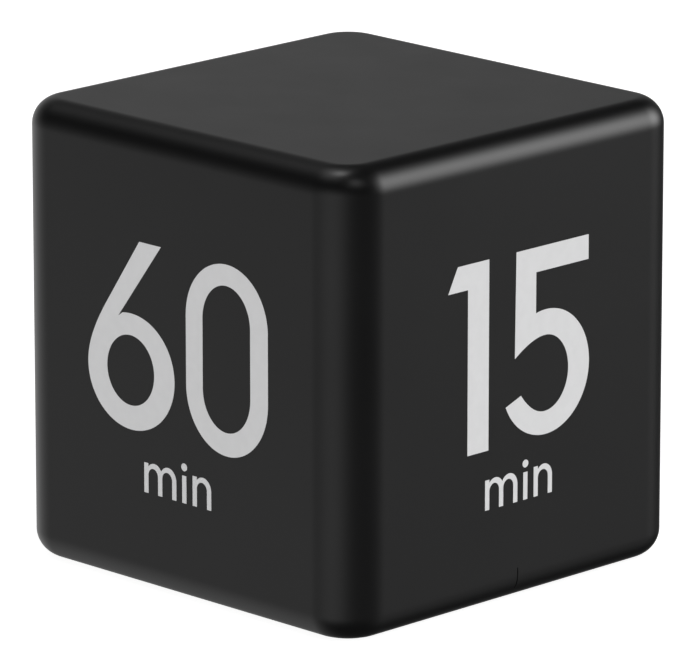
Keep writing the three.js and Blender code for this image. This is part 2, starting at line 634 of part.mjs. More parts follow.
// ---------------------------------------------------------------- materials
function finish(color, roughness, metalness = 0) {
  return new THREE.MeshStandardMaterial({ color, roughness, metalness });
}
const CASE_PLASTIC = finish(0x242424, 0.42);
const KNOB_PLASTIC = finish(0x3a3a3c, 0.5);
const CLEAR_PLASTIC = finish(0xcfd6d2, 0.05);
const DISPLAY_GLASS = finish(0x9fa89a, 0.1);
const REFLECTOR_FILM = finish(0xb9bdb2, 0.35);
const FRAME_PLASTIC = finish(0xdedcd4, 0.5);
const ELASTOMER = finish(0x9a9a92, 0.8);
const BOARD_LAMINATE = finish(0x1f5a36, 0.45);
const EPOXY = finish(0x121212, 0.3);
const CAN_METAL = finish(0xb8b8b4, 0.3, 1);
const STEEL = finish(0x9b9b9d, 0.3, 1);
const SLEEVE = finish(0x1d3b5e, 0.35);
const BRASS = finish(0xc9a54a, 0.3, 1);
const CERAMIC = finish(0xe8e4da, 0.6);
const GLUE = finish(0xd8d8d0, 0.5);
const RED_WIRE = finish(0xa01c1c, 0.5);
const BLACK_WIRE = finish(0x161616, 0.5);

// ---------------------------------------------------------------- assembly
const timer = new THREE.Group();

function group(x, y, z, parent = timer) {
  const made = new THREE.Group();
  made.position.set(x, y, z);
  parent.add(made);
  return made;
}

function place(name, body, material, parent = timer, [x, y, z] = [0, 0, 0], turn = [0, 0, 0]) {
  const mesh = new THREE.Mesh(geometryOf(body), material);
  mesh.name = name;
  mesh.position.set(x, y, z);
  mesh.rotation.set(...turn);
  parent.add(mesh);
}

place("case_shell", caseShell(), CASE_PLASTIC);
place("bottom_cover", bottomCover(), CASE_PLASTIC);
CORNERS.forEach(([sx, sy], i) => {
  const seat = [sx * PILLAR.at, sy * PILLAR.at, COVER_POST.pocketTop - TOUCH];
  place(`cover_screw_${i + 1}`, screw(COVER_SCREW), STEEL, timer, seat);
});

const door = group(0, DOOR_LOW_Y, DOOR.sink);
place("battery_door", batteryDoor(), CASE_PLASTIC, door);

const display = group(0, WINDOW.y, GLASS.z);
place("display_window", displayWindow(), CLEAR_PLASTIC, display, [0, 0, -GLASS.z]);
place("display_glass_front", glassFront(), DISPLAY_GLASS, display);
place("display_glass_rear", glassRear(), DISPLAY_GLASS, display);
place("display_reflector", reflector(), REFLECTOR_FILM, display);
place("display_frame", displayFrame(), FRAME_PLASTIC, display);
place("zebra_strip", zebraStrip(), ELASTOMER, display);

place("main_board", mainBoard(), BOARD_LAMINATE);
POSTS.forEach(([x, y], i) => {
  const turnedOver = [Math.PI, 0, 0];
  place(`board_screw_${i + 1}`, screw(BOARD_SCREW), STEEL, timer, [x, y, BOARD_TOP + TOUCH], turnedOver);
});
const parts = group(0, 0, BOARD_TOP + TOUCH);
place("controller_blob", controllerBlob(), EPOXY, parts, [-11, 12.8, 0]);
place("crystal", crystal(), CAN_METAL, parts, [-14, 24, 1.2], [0, Math.PI / 2, 0]);
place("capacitor", capacitor(), EPOXY, parts, [11, 23, 0]);
place("boost_coil", boostCoil(), EPOXY, parts, [12.5, 9.5, 0]);
place("transistor", transistor(), EPOXY, parts, [12.5, 16.5, 0]);
[[-19.5, 7], [-19.5, 10], [-3, 26.3], [3, 26.3]].forEach(([x, y], i) => {
  place(`resistor_${i + 1}`, chipResistor(), EPOXY, parts, [x, y, 0]);
});

place("switch_can", switchCan(), CAN_METAL, timer, [SWITCH.x, SWITCH.y, 0]);
place("switch_base", switchBase(), EPOXY, timer, [SWITCH.x, SWITCH.y, 0]);
const slider = group(SWITCH.x, SWITCH.y - SWITCH.pitch, 0);
place("switch_knob", switchKnob(), KNOB_PLASTIC, slider);
place("switch_lever", switchLever(), FRAME_PLASTIC, slider);

for (const { name, at, turn } of SENSORS) {
  const sensor = group(...at, BOARD_TOP + TOUCH);
  sensor.rotation.z = turn;
  place(`sensor_${name}_case`, sensorCase(), EPOXY, sensor);
  place(`sensor_${name}_lid`, sensorLid(), EPOXY, sensor);
  place(`sensor_${name}_strip`, sensorStrip(), BRASS, sensor);
  place(`sensor_${name}_contact_1`, sensorContact(), BRASS, sensor);
  place(`sensor_${name}_contact_2`, sensorContact(), BRASS, sensor, [0, 0, 0], [0, 0, Math.PI]);
  const ballZ = STRIP.z + STRIP.sheet + TOUCH + BALL.r;
  place(`sensor_${name}_ball`, sensorBall(), STEEL, sensor, [0, 0, ballZ]);
}

const bay = group(0, BAY.y, 0);
const halfTurn = [0, 0, Math.PI];
place("cell_1", cell(), SLEEVE, bay, [CELL_SHIFT, -CELL.pitch / 2, CELL.z]);
place("cell_2", cell(), SLEEVE, bay, [-CELL_SHIFT, CELL.pitch / 2, CELL.z], halfTurn);
place("contact_link", contactLink(), STEEL, bay, [-CONTACT_X, 0, 0], halfTurn);
place("contact_positive", contactOut(true), STEEL, bay, [CONTACT_X, -CELL.pitch / 2, 0]);
place("contact_negative", contactOut(false), STEEL, bay, [CONTACT_X, CELL.pitch / 2, 0]);
place("cell_spring_1", contactSpring(), STEEL, bay, [TOUCH / 2 - CONTACT_X, -CELL.pitch / 2, CELL.z]);
const springAt = [CONTACT_X - TOUCH / 2, CELL.pitch / 2, CELL.z];
place("cell_spring_2", contactSpring(), STEEL, bay, springAt, halfTurn);

const buzzer = group(0, 0, CEILING);
place("buzzer_disc", buzzerDisc(), BRASS, buzzer);
place("buzzer_ceramic", buzzerCeramic(), CERAMIC, buzzer);
place("buzzer_glue", buzzerGlue(), GLUE, buzzer);

for (const [name, points] of Object.entries(WIRES)) {
  place(name, wire(points), name.endsWith("red") ? RED_WIRE : BLACK_WIRE);
}

export default timer;
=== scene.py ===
# %% [markdown]
# # A cube kitchen timer
# A black plastic cube, 64 mm a side, with a number of minutes printed on each of its upright
# faces. It counts down from the number that is turned to the top, and it is off when it stands
# on its display, as it does here. The mechanism, the moving pieces and every size come from the
# CAD frame. This script gives the frame its finish, and makes the surfaces that have to be finer
# than a CAD model's facets.

import math

import bmesh
import bpy
import numpy as np
from mathutils import Matrix, Vector


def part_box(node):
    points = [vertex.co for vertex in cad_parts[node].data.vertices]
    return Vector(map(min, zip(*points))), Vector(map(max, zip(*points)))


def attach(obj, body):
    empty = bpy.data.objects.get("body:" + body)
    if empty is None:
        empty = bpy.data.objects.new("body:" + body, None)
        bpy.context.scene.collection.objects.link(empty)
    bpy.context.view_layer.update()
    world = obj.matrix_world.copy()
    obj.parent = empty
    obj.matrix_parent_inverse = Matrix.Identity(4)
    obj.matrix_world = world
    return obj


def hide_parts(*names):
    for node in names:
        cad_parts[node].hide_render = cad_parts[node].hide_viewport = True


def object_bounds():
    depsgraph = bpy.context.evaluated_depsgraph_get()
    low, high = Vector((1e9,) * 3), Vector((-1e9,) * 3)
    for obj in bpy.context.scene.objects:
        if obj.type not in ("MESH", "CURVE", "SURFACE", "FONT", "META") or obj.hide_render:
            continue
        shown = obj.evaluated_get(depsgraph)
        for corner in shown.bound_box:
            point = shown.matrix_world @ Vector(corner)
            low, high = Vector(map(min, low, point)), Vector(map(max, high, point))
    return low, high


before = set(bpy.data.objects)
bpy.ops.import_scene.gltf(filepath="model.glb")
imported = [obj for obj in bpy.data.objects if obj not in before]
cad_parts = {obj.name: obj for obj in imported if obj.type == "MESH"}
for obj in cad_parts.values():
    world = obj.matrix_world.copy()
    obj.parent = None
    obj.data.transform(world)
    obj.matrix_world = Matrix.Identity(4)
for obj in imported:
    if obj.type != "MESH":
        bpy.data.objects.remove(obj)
cad_box = [list(corner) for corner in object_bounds()]
MM = 0.001
print("CAD box in mm:", [[round(v / MM, 1) for v in corner] for corner in cad_box])

# %% [markdown]
# ## Meshes from arrays
# A new piece here is a grid of points: rows up or along the shape, and columns round it. Numpy
# works out all the points at once, and the faces follow from the grid's numbering. Building
# faces one by one would be slower and harder to read, and a primitive has no exact profile.

# %% A mesh from points and faces
def face_outwards(mesh):
    """Turns the faces of each closed skin outwards, after points that coincide are merged."""
    work = bmesh.new()
    work.from_mesh(mesh)
    bmesh.ops.remove_doubles(work, verts=work.verts, dist=1e-7)
    bmesh.ops.recalc_face_normals(work, faces=work.faces)
    work.to_mesh(mesh)
    work.free()


def put_mesh(name, points, faces, smooth_degrees=35, closed=True):
    """A mesh object at the origin from points in metres, smooth up to an angle between faces."""
    mesh = bpy.data.meshes.new(name)
    mesh.from_pydata(np.asarray(points).reshape(-1, 3).tolist(), [], faces)
    mesh.validate()
    if closed:
        face_outwards(mesh)
    mesh.polygons.foreach_set("use_smooth", np.ones(len(mesh.polygons), bool))
    mesh.set_sharp_from_angle(angle=math.radians(smooth_degrees))
    made = bpy.data.objects.new(name, mesh)
    bpy.context.scene.collection.objects.link(made)
    return made


# %% The faces of a closed skin
def skin_faces(rows, columns, cap_low=True, cap_high=True, first=0):
    """Quads between each row and the next, closed round the columns, and a flat cap at each end."""
    r, c = np.meshgrid(np.arange(rows - 1), np.arange(columns), indexing="ij")
    low, high = r * columns + c, r * columns + (c + 1) % columns
    quads = np.stack([low, high, high + columns, low + columns], -1).reshape(-1, 4) + first
    faces = quads.tolist()
    if cap_low:
        faces.append((first + np.arange(columns))[::-1].tolist())
    if cap_high:
        faces.append((first + (rows - 1) * columns + np.arange(columns)).tolist())
    return faces


# %% [markdown]
# ## The case
# The real case is one injection moulding: five walls, 2.4 mm thick, whose upright edges are
# rounded more than the rims. It could be a cube with a bevel, but a bevel has one radius. So it
# is a stack of rounded squares. Going up a rim, each square is a little larger, and its corner
# radius grows by as much, which is how an offset outline behaves. Extra rows and columns lie
# beside each line where a round meets a flat, so that the flats shade flat.

# %% The case's own sizes
lowest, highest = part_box("case_shell")
HALF = highest.x
TOP = highest.z
CORNER_R = 6.75 * MM
RIM_R = 3.75 * MM
WALL = 2.4 * MM
CAVITY_HALF = HALF - WALL
CAVITY_R = CORNER_R - WALL
CEILING = TOP - WALL
SLIT_HALF_WIDTH = 0.07 * MM
SLIT_DEPTH = 0.1 * MM
SLIT_FOOT, SLIT_TOP = 1.7 * MM, 4.7 * MM
print("case: %.1f mm a side" % (2 * HALF / MM))


# %% A rounded square's columns
def square_columns(corner_steps, flat_offsets):
    """For each column of a rounded square: which corner it belongs to, the angle it points at, and
    how far it lies along the flat side before that corner. A point is then the corner's centre,
    plus the radius times the angle's direction, less the distance along the flat."""
    angles, alongs, corners = [], [], []
    arc = np.linspace(0, np.pi / 2, corner_steps + 1)
    for corner in range(4):
        flat = np.asarray(flat_offsets[corner])
        angles += [np.full(len(flat), corner * np.pi / 2), corner * np.pi / 2 + arc]
        alongs += [flat, np.zeros(corner_steps + 1)]
        corners += [np.full(len(flat) + corner_steps + 1, corner)]
    return np.concatenate(corners), np.concatenate(angles), np.concatenate(alongs)


def square_rows(columns, half, radius, height):
    """Rounded squares at several heights, as a grid of rows by columns by x, y and z. Half sides,
    radii and heights are one number for each row."""
    corner, angle, along = columns
    half, radius, height = (np.asarray(v, float)[:, None] for v in (half, radius, height))
    sign_x = np.where((corner == 0) | (corner == 3), 1.0, -1.0)
    sign_y = np.where(corner < 2, 1.0, -1.0)
    start = corner * np.pi / 2
    back_x, back_y = np.sin(start), -np.cos(start)
    x = sign_x * (half - radius) + radius * np.cos(angle) + along * back_x
    y = sign_y * (half - radius) + radius * np.sin(angle) + along * back_y
    return np.stack([x, y, np.broadcast_to(height, x.shape)], -1)


# %% The outside and the inside of the case as one closed skin
def case_profile():
    """Half side, corner radius and height of every row: from the ceiling's middle down the inside,
    round the foot of the wall, up the outside and over the rim. A rim is a quarter circle: the
    inset is R times one less the sine, and the height R times one less the cosine."""
    ceiling_r = 1.5 * MM
    quarter = np.linspace(0, np.pi / 2, 9)
    inset = ceiling_r * (1 - np.sin(quarter))
    inside_half = np.concatenate([[CAVITY_HALF - 1.4 * ceiling_r], CAVITY_HALF - inset,
                                  [CAVITY_HALF] * 2])
    inside_z = np.concatenate([[CEILING], CEILING - ceiling_r * (1 - np.cos(quarter)),
                               [2 * MM, 0.42 * MM]])
    inside_r = CAVITY_R - (CAVITY_HALF - inside_half)
    foot = np.arcsin(1 - (WALL - 0.12 * MM) / RIM_R)
    low = np.linspace(foot, np.pi / 2, 20)
    high = np.linspace(np.pi / 2, 0, 26)
    low_inset, high_inset = RIM_R * (1 - np.sin(low)), RIM_R * (1 - np.sin(high))
    slit_rows = [SLIT_TOP - 0.02 * MM, SLIT_TOP]
    wall_z = np.array([RIM_R + 0.3 * MM, *slit_rows, TOP / 2, TOP - RIM_R - 0.3 * MM])
    outside_inset = np.concatenate([low_inset, np.zeros(len(wall_z)), high_inset, [RIM_R + 0.3 * MM]])
    outside_z = np.concatenate([RIM_R * (1 - np.cos(low)), wall_z,
                                TOP - RIM_R * (1 - np.cos(high)), [TOP]])
    half = np.concatenate([inside_half, HALF - outside_inset])
    radius = np.concatenate([inside_r, CORNER_R - outside_inset])
    return half, radius, np.concatenate([inside_z, outside_z]), len(inside_half)


beside_round = 0.3 * MM
straight = 2 * (HALF - CORNER_R)
plain_side = [straight - beside_round, straight / 2, beside_round]
slit_edges = [SLIT_HALF_WIDTH + 0.02 * MM, SLIT_HALF_WIDTH,
              -SLIT_HALF_WIDTH, -SLIT_HALF_WIDTH - 0.02 * MM]
slit_side = [straight - beside_round, *(straight / 2 + np.array(slit_edges)), beside_round]
case_columns = square_columns(26, [slit_side, plain_side, plain_side, plain_side])
half, radius, height, inside_count = case_profile()
case_points = square_rows(case_columns, half, radius, height)

# %% Press in the mould slit at the foot of the "15" face
# Points of the outside that lie between the slit's edges and its two ends move straight inwards.
x, y, z = np.moveaxis(case_points, -1, 0)
outside = np.arange(len(half))[:, None] >= inside_count + 2
in_slit = outside & (x > HALF - RIM_R) & (np.abs(y) <= SLIT_HALF_WIDTH * 1.01)
in_slit &= (z > SLIT_FOOT) & (z < SLIT_TOP - 0.01 * MM)
case_points[..., 0] -= np.where(in_slit, SLIT_DEPTH, 0)
case = put_mesh("case", case_points, skin_faces(*case_points.shape[:2]))
print("case: %d faces, slit on %d points" % (len(case.data.polygons), in_slit.sum()))

# %% [markdown]
# Inside, four bored pillars take the cover's screws, each stiffened by two ribs, and a ring under
# the ceiling holds the sounder. They are turned and swept shapes that run a hair into the wall,
# as the moulding's own metal-safe corners do.

# %% A turned shape
def turned(profile, sides=48, centre=(0, 0, 0), axis="Z"):
    """Points of a closed profile of radius and height pairs in mm, carried round an axis:
    each point goes to radius times cosine and sine of the angle, at its own height."""
    r, h = (np.asarray(profile, float) * MM).T
    a = np.linspace(0, 2 * np.pi, sides, endpoint=False)[:, None]
    grid = np.stack([r * np.cos(a), r * np.sin(a), np.broadcast_to(h, (sides, len(h)))], -1)
    if axis == "X":
        grid = grid[..., [2, 0, 1]]
    if axis == "-X":
        grid = grid[..., [2, 0, 1]] * [-1, -1, 1]
    return grid + np.asarray(centre, float) * MM


def turned_faces(sides, count, first=0):
    """Quads between neighbouring meridians of a closed profile."""
    s, p = np.meshgrid(np.arange(sides), np.arange(count), indexing="ij")
    a, b = s * count + p, ((s + 1) % sides) * count + p
    step = np.where(p == count - 1, 1 - count, 1)
    return (np.stack([a, b, b + step, a + step], -1).reshape(-1, 4) + first).tolist()


# %% Pillars and ring
def gather(parts):
    """One list of points and one of faces out of several, with the faces numbered on."""
    points, faces = [], []
    for part_points, make_faces in parts:
        faces += make_faces(len(points))
        points += part_points.reshape(-1, 3).tolist()
    return points, faces


def box_part(low, high):
    """The eight corners of a box in mm, and its six faces."""
    corners = np.array([[x, y, z] for z in (low[2], high[2]) for x, y in
                        ((low[0], low[1]), (high[0], low[1]), (high[0], high[1]), (low[0], high[1]))])
    sides = [[3, 2, 1, 0], [4, 5, 6, 7], [0, 1, 5, 4], [1, 2, 6, 5], [2, 3, 7, 6], [3, 0, 4, 7]]
    return corners * MM, lambda first: (np.array(sides) + first).tolist()


def turned_part(profile, sides=48, centre=(0, 0, 0), axis="Z"):
    """A turned shape with its faces still to be numbered."""
    points = turned(profile, sides, centre, axis)
    return points, lambda first: turned_faces(sides, len(profile), first)


PILLAR_AT = (HALF - CORNER_R) / MM
PILLAR_R, PILLAR_FOOT, RIB_HALF = 3.2, 7.3, 0.6
BORE_R, BORE_END = 1.35, 16.3
INTO_WALL, INTO_PILLAR = 0.2, 0.05
embed = CEILING / MM + INTO_WALL
pillar = [(BORE_R, PILLAR_FOOT), (PILLAR_R, PILLAR_FOOT), (PILLAR_R, embed), (0.02, embed),
          (0.02, BORE_END), (BORE_R, BORE_END)]
ring = [(12, embed), (12, 60.1), (13.75, 60.1), (13.75, 58.6), (15.5, 58.6), (15.5, embed)]
inner_parts = [turned_part(ring, 96)]
wall_in = CAVITY_HALF / MM + INTO_WALL
rib_start = PILLAR_AT + PILLAR_R - INTO_PILLAR
for sx in (-1, 1):
    for sy in (-1, 1):
        px, py = sx * PILLAR_AT, sy * PILLAR_AT
        inner_parts.append(turned_part(pillar, 40, (px, py, 0)))
        reach = sorted((sx * rib_start, sx * wall_in))
        across = sorted((sy * rib_start, sy * wall_in))
        inner_parts.append(box_part((reach[0], py - RIB_HALF, PILLAR_FOOT),
                                    (reach[1], py + RIB_HALF, embed)))
        inner_parts.append(box_part((px - RIB_HALF, across[0], PILLAR_FOOT),
                                    (px + RIB_HALF, across[1], embed)))
case_inside = put_mesh("case_pillars", *gather(inner_parts))
print("case pillars: %d faces" % len(case_inside.data.polygons))
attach(case, "case")
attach(case_inside, "case")
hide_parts("case_shell")

# %% [markdown]
# ## The printed numbers
# The real numbers are pad printed: one flat coat of light grey ink. They could be an image or a
# shader mask, but an outline in the mesh stays sharp at any distance. Each outline is made of
# straight runs and pieces of ellipses, and a flat curve fills it and gives it the ink's thickness.

# %% Outline pieces
def arc(cx, cy, rx, ry, start, end):
    """Part of an ellipse: centre plus the radii times cosine and sine, from one angle to another."""
    steps = max(4, int(abs(end - start) / 4))
    t = np.radians(np.linspace(start, end, steps + 1))
    return np.stack([cx + rx * np.cos(t), cy + ry * np.sin(t)], -1)


def bend(a, b, c):
    """A quadratic curve from a to c that leaves and arrives towards b."""
    t = np.linspace(0, 1, 13)[:, None]
    return (1 - t) ** 2 * np.array(a) + 2 * t * (1 - t) * np.array(b) + t**2 * np.array(c)


def run(*points):
    """Straight stretches through the given points."""
    return np.array(points, float)


def outline(*stretches):
    """One closed loop out of stretches laid end to end."""
    return np.concatenate(stretches)


# %% The figures, in mm from the middle of a face
def zero():
    """Two tall loops: half ellipses above and below, joined by straight sides."""
    def loop(cx, rx, low_ry, high_ry):
        return outline(arc(cx, 8, rx, high_ry, 0, 180), arc(cx, -1.5, rx, low_ry, 180, 360))
    return [loop(9.47, 7.73, 8.5, 8.15), loop(9.4, 4.5, 5.3, 5.25)]


def six():
    """A round bowl with a slanting stem: the stem's left edge bends into the bowl's left side."""
    bowl = arc(-8.85, -1.92, 8.35, 8.03, 101, -180)
    shoulder = bend((-17.2, -1.8), (-17.2, 1.5), (-13.7, 6.63))
    return [outline(run((-7.1, 16.25), (-2.95, 16.25), (-11.3, 5.35)), bowl, shoulder),
            arc(-8.95, -1.75, 4.55, 4.85, 0, 356)]


def one():
    """A straight stem with a short flag."""
    return [run((-11.68, 16.2), (-5.77, 16.2), (-5.77, -9.9), (-9.75, -9.9), (-9.75, 12.75),
                (-13.5, 12.75))]


def five():
    """A bar, a short neck and an open bowl."""
    return [outline(run((-0.6, 16.2), (13.28, 16.2), (13.28, 12.8), (3.2, 12.8)),
                    arc(5.15, -1.2, 8.38, 8.6, 103.5, -156),
                    bend((0.42, -3.62), (1.49, -5.12), (2.89, -5.99)),
                    arc(5, -1.35, 4.5, 5.25, -114, 92),
                    bend((4.6, 3.9), (2.3, 3.75), (-0.8, 1.65)))]


def two():
    """An open arch, a slanting stroke and a base."""
    return [outline(arc(-9.2, 8, 7.3, 8.4, 172, -38),
                    run((-9.85, -6.6), (-1.6, -6.6), (-1.6, -9.9), (-16.6, -9.9), (-16.6, -7.7)),
                    arc(-9.2, 8, 3.6, 5.1, -38, 172))]


def three():
    """Two open bowls on a short bar."""
    return [outline(arc(-9.6, 9.2, 6.6, 7, 160, -40),
                    arc(-9.6, -1.6, 7.6, 8.4, 48.6, -160),
                    arc(-9.6, -1.95, 3.8, 4.85, -160, 90),
                    run((-11.9, 2.9), (-11.9, 5.9)),
                    arc(-9.6, 9.55, 2.8, 3.65, -90, 160))]


def minutes_word(shift=0.0):
    """The word "min": stems joined by arches, and a round dot. The two arches of the m meet in a
    notch over its middle stem."""
    foot, low, top = -18.11, -15.61, -13.96
    m = outline(run((-6.55, foot), (-5.75, foot)), arc(-4.82, low, 0.93, 1.02, 180, 0),
                run((-3.89, foot), (-3.09, foot)), arc(-2.13, low, 0.96, 1.02, 180, 0),
                run((-1.17, foot), (-0.37, foot)), arc(-1.95, low, 1.58, 1.75, 0, 146.5),
                arc(-4.6, low, 1.58, 1.75, 33.5, 137), run((-5.75, top), (-6.55, top)))
    i = run((0.76, foot), (1.56, foot), (1.56, -14.31), (0.76, -14.31))
    dot = arc(1.16, -13.14, 0.55, 0.54, 0, 350)
    n = outline(run((2.76, foot), (3.56, foot)), arc(4.53, low, 0.97, 1.02, 180, 0),
                run((5.5, foot), (6.3, foot)), arc(4.72, low, 1.58, 1.75, 0, 137),
                run((3.56, top), (2.76, top)))
    return [loop + [shift, 0] for loop in (m, i, dot, n)]


# %% Ink on a face
INK = 0.02 * MM


def flat_mesh(name, curve):
    """The filled mesh of a flat curve or of a text, in the curve's own plane."""
    holder = bpy.data.objects.new(name, curve)
    bpy.context.scene.collection.objects.link(holder)
    mesh = bpy.data.meshes.new_from_object(holder.evaluated_get(bpy.context.evaluated_depsgraph_get()))
    bpy.data.objects.remove(holder)
    return mesh


def laid(name, mesh, across, up, middle, body):
    """Lays a flat mesh in mm on a face whose directions are across and up, about its middle."""
    across, up = Vector(across), Vector(up)
    place = Matrix((across, up, across.cross(up))).transposed().to_4x4()
    mesh.transform(Matrix.Translation(middle) @ place @ Matrix.Scale(MM, 4))
    face_outwards(mesh)
    made = bpy.data.objects.new(name, mesh)
    bpy.context.scene.collection.objects.link(made)
    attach(made, body)
    return made


def printed(name, loops, across, up, middle, half_thick=INK, body="case"):
    """A flat sheet from closed loops in mm: a curve fills them and gives them a thickness."""
    curve = bpy.data.curves.new(name, "CURVE")
    curve.dimensions, curve.fill_mode, curve.extrude = "2D", "BOTH", half_thick / MM
    for loop in loops:
        spline = curve.splines.new("POLY")
        spline.points.add(len(loop) - 1)
        flat = np.zeros((len(loop), 4))
        flat[:, :2], flat[:, 3] = loop, 1
        spline.points.foreach_set("co", flat.ravel())
        spline.use_cyclic_u = True
    return laid(name, flat_mesh(name, curve), across, up, middle, body)


faces_of_cube = {
    "60": ([*six(), *zero(), *minutes_word(0.1)], (1, 0, 0), (0, -HALF, TOP / 2)),
    "15": ([*one(), *five(), *minutes_word(0.2)], (0, 1, 0), (HALF, 0, TOP / 2)),
    "20": ([*two(), *zero(), *minutes_word()], (-1, 0, 0), (0, HALF, TOP / 2)),
    "30": ([*three(), *zero(), *minutes_word()], (0, -1, 0), (-HALF, 0, TOP / 2)),
}
inks = [printed("print_" + number, loops, across, (0, 0, 1), middle)
        for number, (loops, across, middle) in faces_of_cube.items()]
print("ink:", [(piece.name, len(piece.data.polygons)) for piece in inks])

# %% [markdown]
# ## Finishes
# Every finish is made of noise in object space, so it is fixed to the piece and needs no
# unwrapping. Colours, roughness and a fine bump vary a little. A value that is the same all over
# is set on the shader itself.

# %% A material and its noise
def finish_of(name, roughness, **constants):
    """A new material, its node tree and its shader, with constant values set on the shader."""
    material = bpy.data.materials.new(name)
    material.use_nodes = True
    tree = material.node_tree
    shader = tree.nodes["Principled BSDF"]
    shader.inputs["Roughness"].default_value = roughness
    for socket, value in constants.items():
        shader.inputs[socket.replace("_", " ")].default_value = value
    return material, tree, shader


def noise(tree, size_mm, detail=2.0, stretch=(1, 1, 1)):
    """Noise whose lumps are about size_mm across, in object space."""
    place = tree.nodes.new("ShaderNodeTexCoord")
    mapping = tree.nodes.new("ShaderNodeMapping")
    mapping.inputs["Scale"].default_value = stretch
    texture = tree.nodes.new("ShaderNodeTexNoise")
    texture.inputs["Scale"].default_value = 1 / (size_mm * MM)
    texture.inputs["Detail"].default_value = detail
    tree.links.new(place.outputs["Object"], mapping.inputs["Vector"])
    tree.links.new(mapping.outputs["Vector"], texture.inputs["Vector"])
    return texture.outputs["Fac"]


def between(tree, value, low, high, span=(0.3, 0.7)):
    """The noise value spread over a range of numbers."""
    spread = tree.nodes.new("ShaderNodeMapRange")
    spread.inputs["From Min"].default_value, spread.inputs["From Max"].default_value = span
    spread.inputs["To Min"].default_value, spread.inputs["To Max"].default_value = low, high
    tree.links.new(value, spread.inputs["Value"])
    return spread.outputs["Result"]


def colours(tree, value, low, high, span=(0.35, 0.65)):
    """A colour between two, by the noise value."""
    ramp = tree.nodes.new("ShaderNodeValToRGB")
    ramp.color_ramp.elements[0].position, ramp.color_ramp.elements[1].position = span
    ramp.color_ramp.elements[0].color = (*low, 1)
    ramp.color_ramp.elements[1].color = (*high, 1)
    tree.links.new(value, ramp.inputs["Fac"])
    return ramp.outputs["Color"]


def math_node(tree, kind, *values):
    """One arithmetic node on sockets or numbers."""
    node = tree.nodes.new("ShaderNodeMath")
    node.operation = kind
    for socket, value in zip(node.inputs, values):
        if isinstance(value, (int, float)):
            socket.default_value = value
        else:
            tree.links.new(value, socket)
    return node.outputs["Value"]


def bumped(tree, shader, value, height_mm, strength=1.0):
    """A bump of a real height on the shader's normal."""
    bump = tree.nodes.new("ShaderNodeBump")
    bump.inputs["Distance"].default_value = height_mm * MM
    bump.inputs["Strength"].default_value = strength
    tree.links.new(value, bump.inputs["Height"])
    tree.links.new(bump.outputs["Normal"], shader.inputs["Normal"])


def dress(piece, material):
    """Gives a piece one material, in place of what it came with."""
    piece.data.materials.clear()
    piece.data.materials.append(material)


# %% [markdown]
# ### Black case plastic
# The case is black ABS from a mould with a fine satin texture. The texture is what keeps its
# highlights soft. Under the fine grain, the roughness drifts a little over centimetres, as it
# does on any moulding that has been handled.

# %% Satin black plastic
def satin_plastic(name, low, high, roughness, grain_mm=0.16, grain_height_mm=0.0012):
    """Base colour between two near values, roughness that drifts, and a fine grain as a bump."""
    material, tree, shader = finish_of(name, roughness, IOR=1.46)
    drift = noise(tree, 22, 3)
    tree.links.new(colours(tree, drift, low, high), shader.inputs["Base Color"])
    handled = between(tree, noise(tree, 9, 4), roughness - 0.012, roughness + 0.012)
    tree.links.new(handled, shader.inputs["Roughness"])
    bumped(tree, shader, noise(tree, grain_mm, 2), grain_height_mm)
    return material


case_black = satin_plastic("case_black", (0.0021, 0.0021, 0.0022), (0.0029, 0.0029, 0.003), 0.3)
for piece in (case, case_inside):
    dress(piece, case_black)

# %% Pad-printed ink
def ink_finish():
    """Light grey ink: faint mottling from the pad, and a matte, slightly uneven surface."""
    material, tree, shader = finish_of("print_grey", 0.5, IOR=1.45)
    mottle = noise(tree, 1.6, 5)
    grey = colours(tree, mottle, (0.65, 0.65, 0.655), (0.67, 0.67, 0.675))
    tree.links.new(grey, shader.inputs["Base Color"])
    bumped(tree, shader, noise(tree, 0.2, 2), 0.001)
    return material


print_grey = ink_finish()
for piece in inks:
    dress(piece, print_grey)

# %% [markdown]
# ### Finishes of the other parts
# Each finish is made once, under the name of the record's slot, and every CAD part takes the one
# its slot names. So a part that is added to the CAD later gets its finish without a new line.

# %% Plastics and rubber
finishes = {"case_plastic": case_black, "print_ink": print_grey}
# slot: material's name, darker and lighter colour, roughness, grain and its height in mm
plastics = {
    "knob_plastic": ("knob_grey", (0.045, 0.045, 0.047), (0.06, 0.06, 0.062), 0.38),
    "frame_plastic": ("frame_white", (0.66, 0.65, 0.6), (0.74, 0.73, 0.69), 0.42),
    "epoxy": ("moulding_compound", (0.01, 0.01, 0.01), (0.022, 0.021, 0.02), 0.34, 0.3, 0.004),
    "glue": ("cured_silicone", (0.66, 0.65, 0.6), (0.74, 0.73, 0.69), 0.35, 1.2, 0.05),
    "capacitor_sleeve": ("shrunk_sleeve", (0.014, 0.024, 0.06), (0.022, 0.036, 0.085), 0.2, 0.8, 0.01),
    "red_wire": ("red_insulation", (0.4, 0.012, 0.012), (0.52, 0.025, 0.02), 0.32, 0.25, 0.004),
    "black_wire": ("black_insulation", (0.012, 0.012, 0.012), (0.022, 0.022, 0.023), 0.32, 0.25, 0.004),
}
for slot, recipe in plastics.items():
    finishes[slot] = satin_plastic(*recipe)


# %% Metals
def metal(name, low, high, roughness, stretch, grain_mm=0.12, height_mm=0.001):
    """Bare metal: brushed along one axis by stretching its grain, with slightly uneven colour."""
    material, tree, shader = finish_of(name, roughness, Metallic=1.0)
    grain = noise(tree, grain_mm, 3, stretch)
    tree.links.new(colours(tree, noise(tree, 5, 4), low, high), shader.inputs["Base Color"])
    tree.links.new(between(tree, grain, roughness - 0.07, roughness + 0.07), shader.inputs["Roughness"])
    bumped(tree, shader, grain, height_mm)
    return material


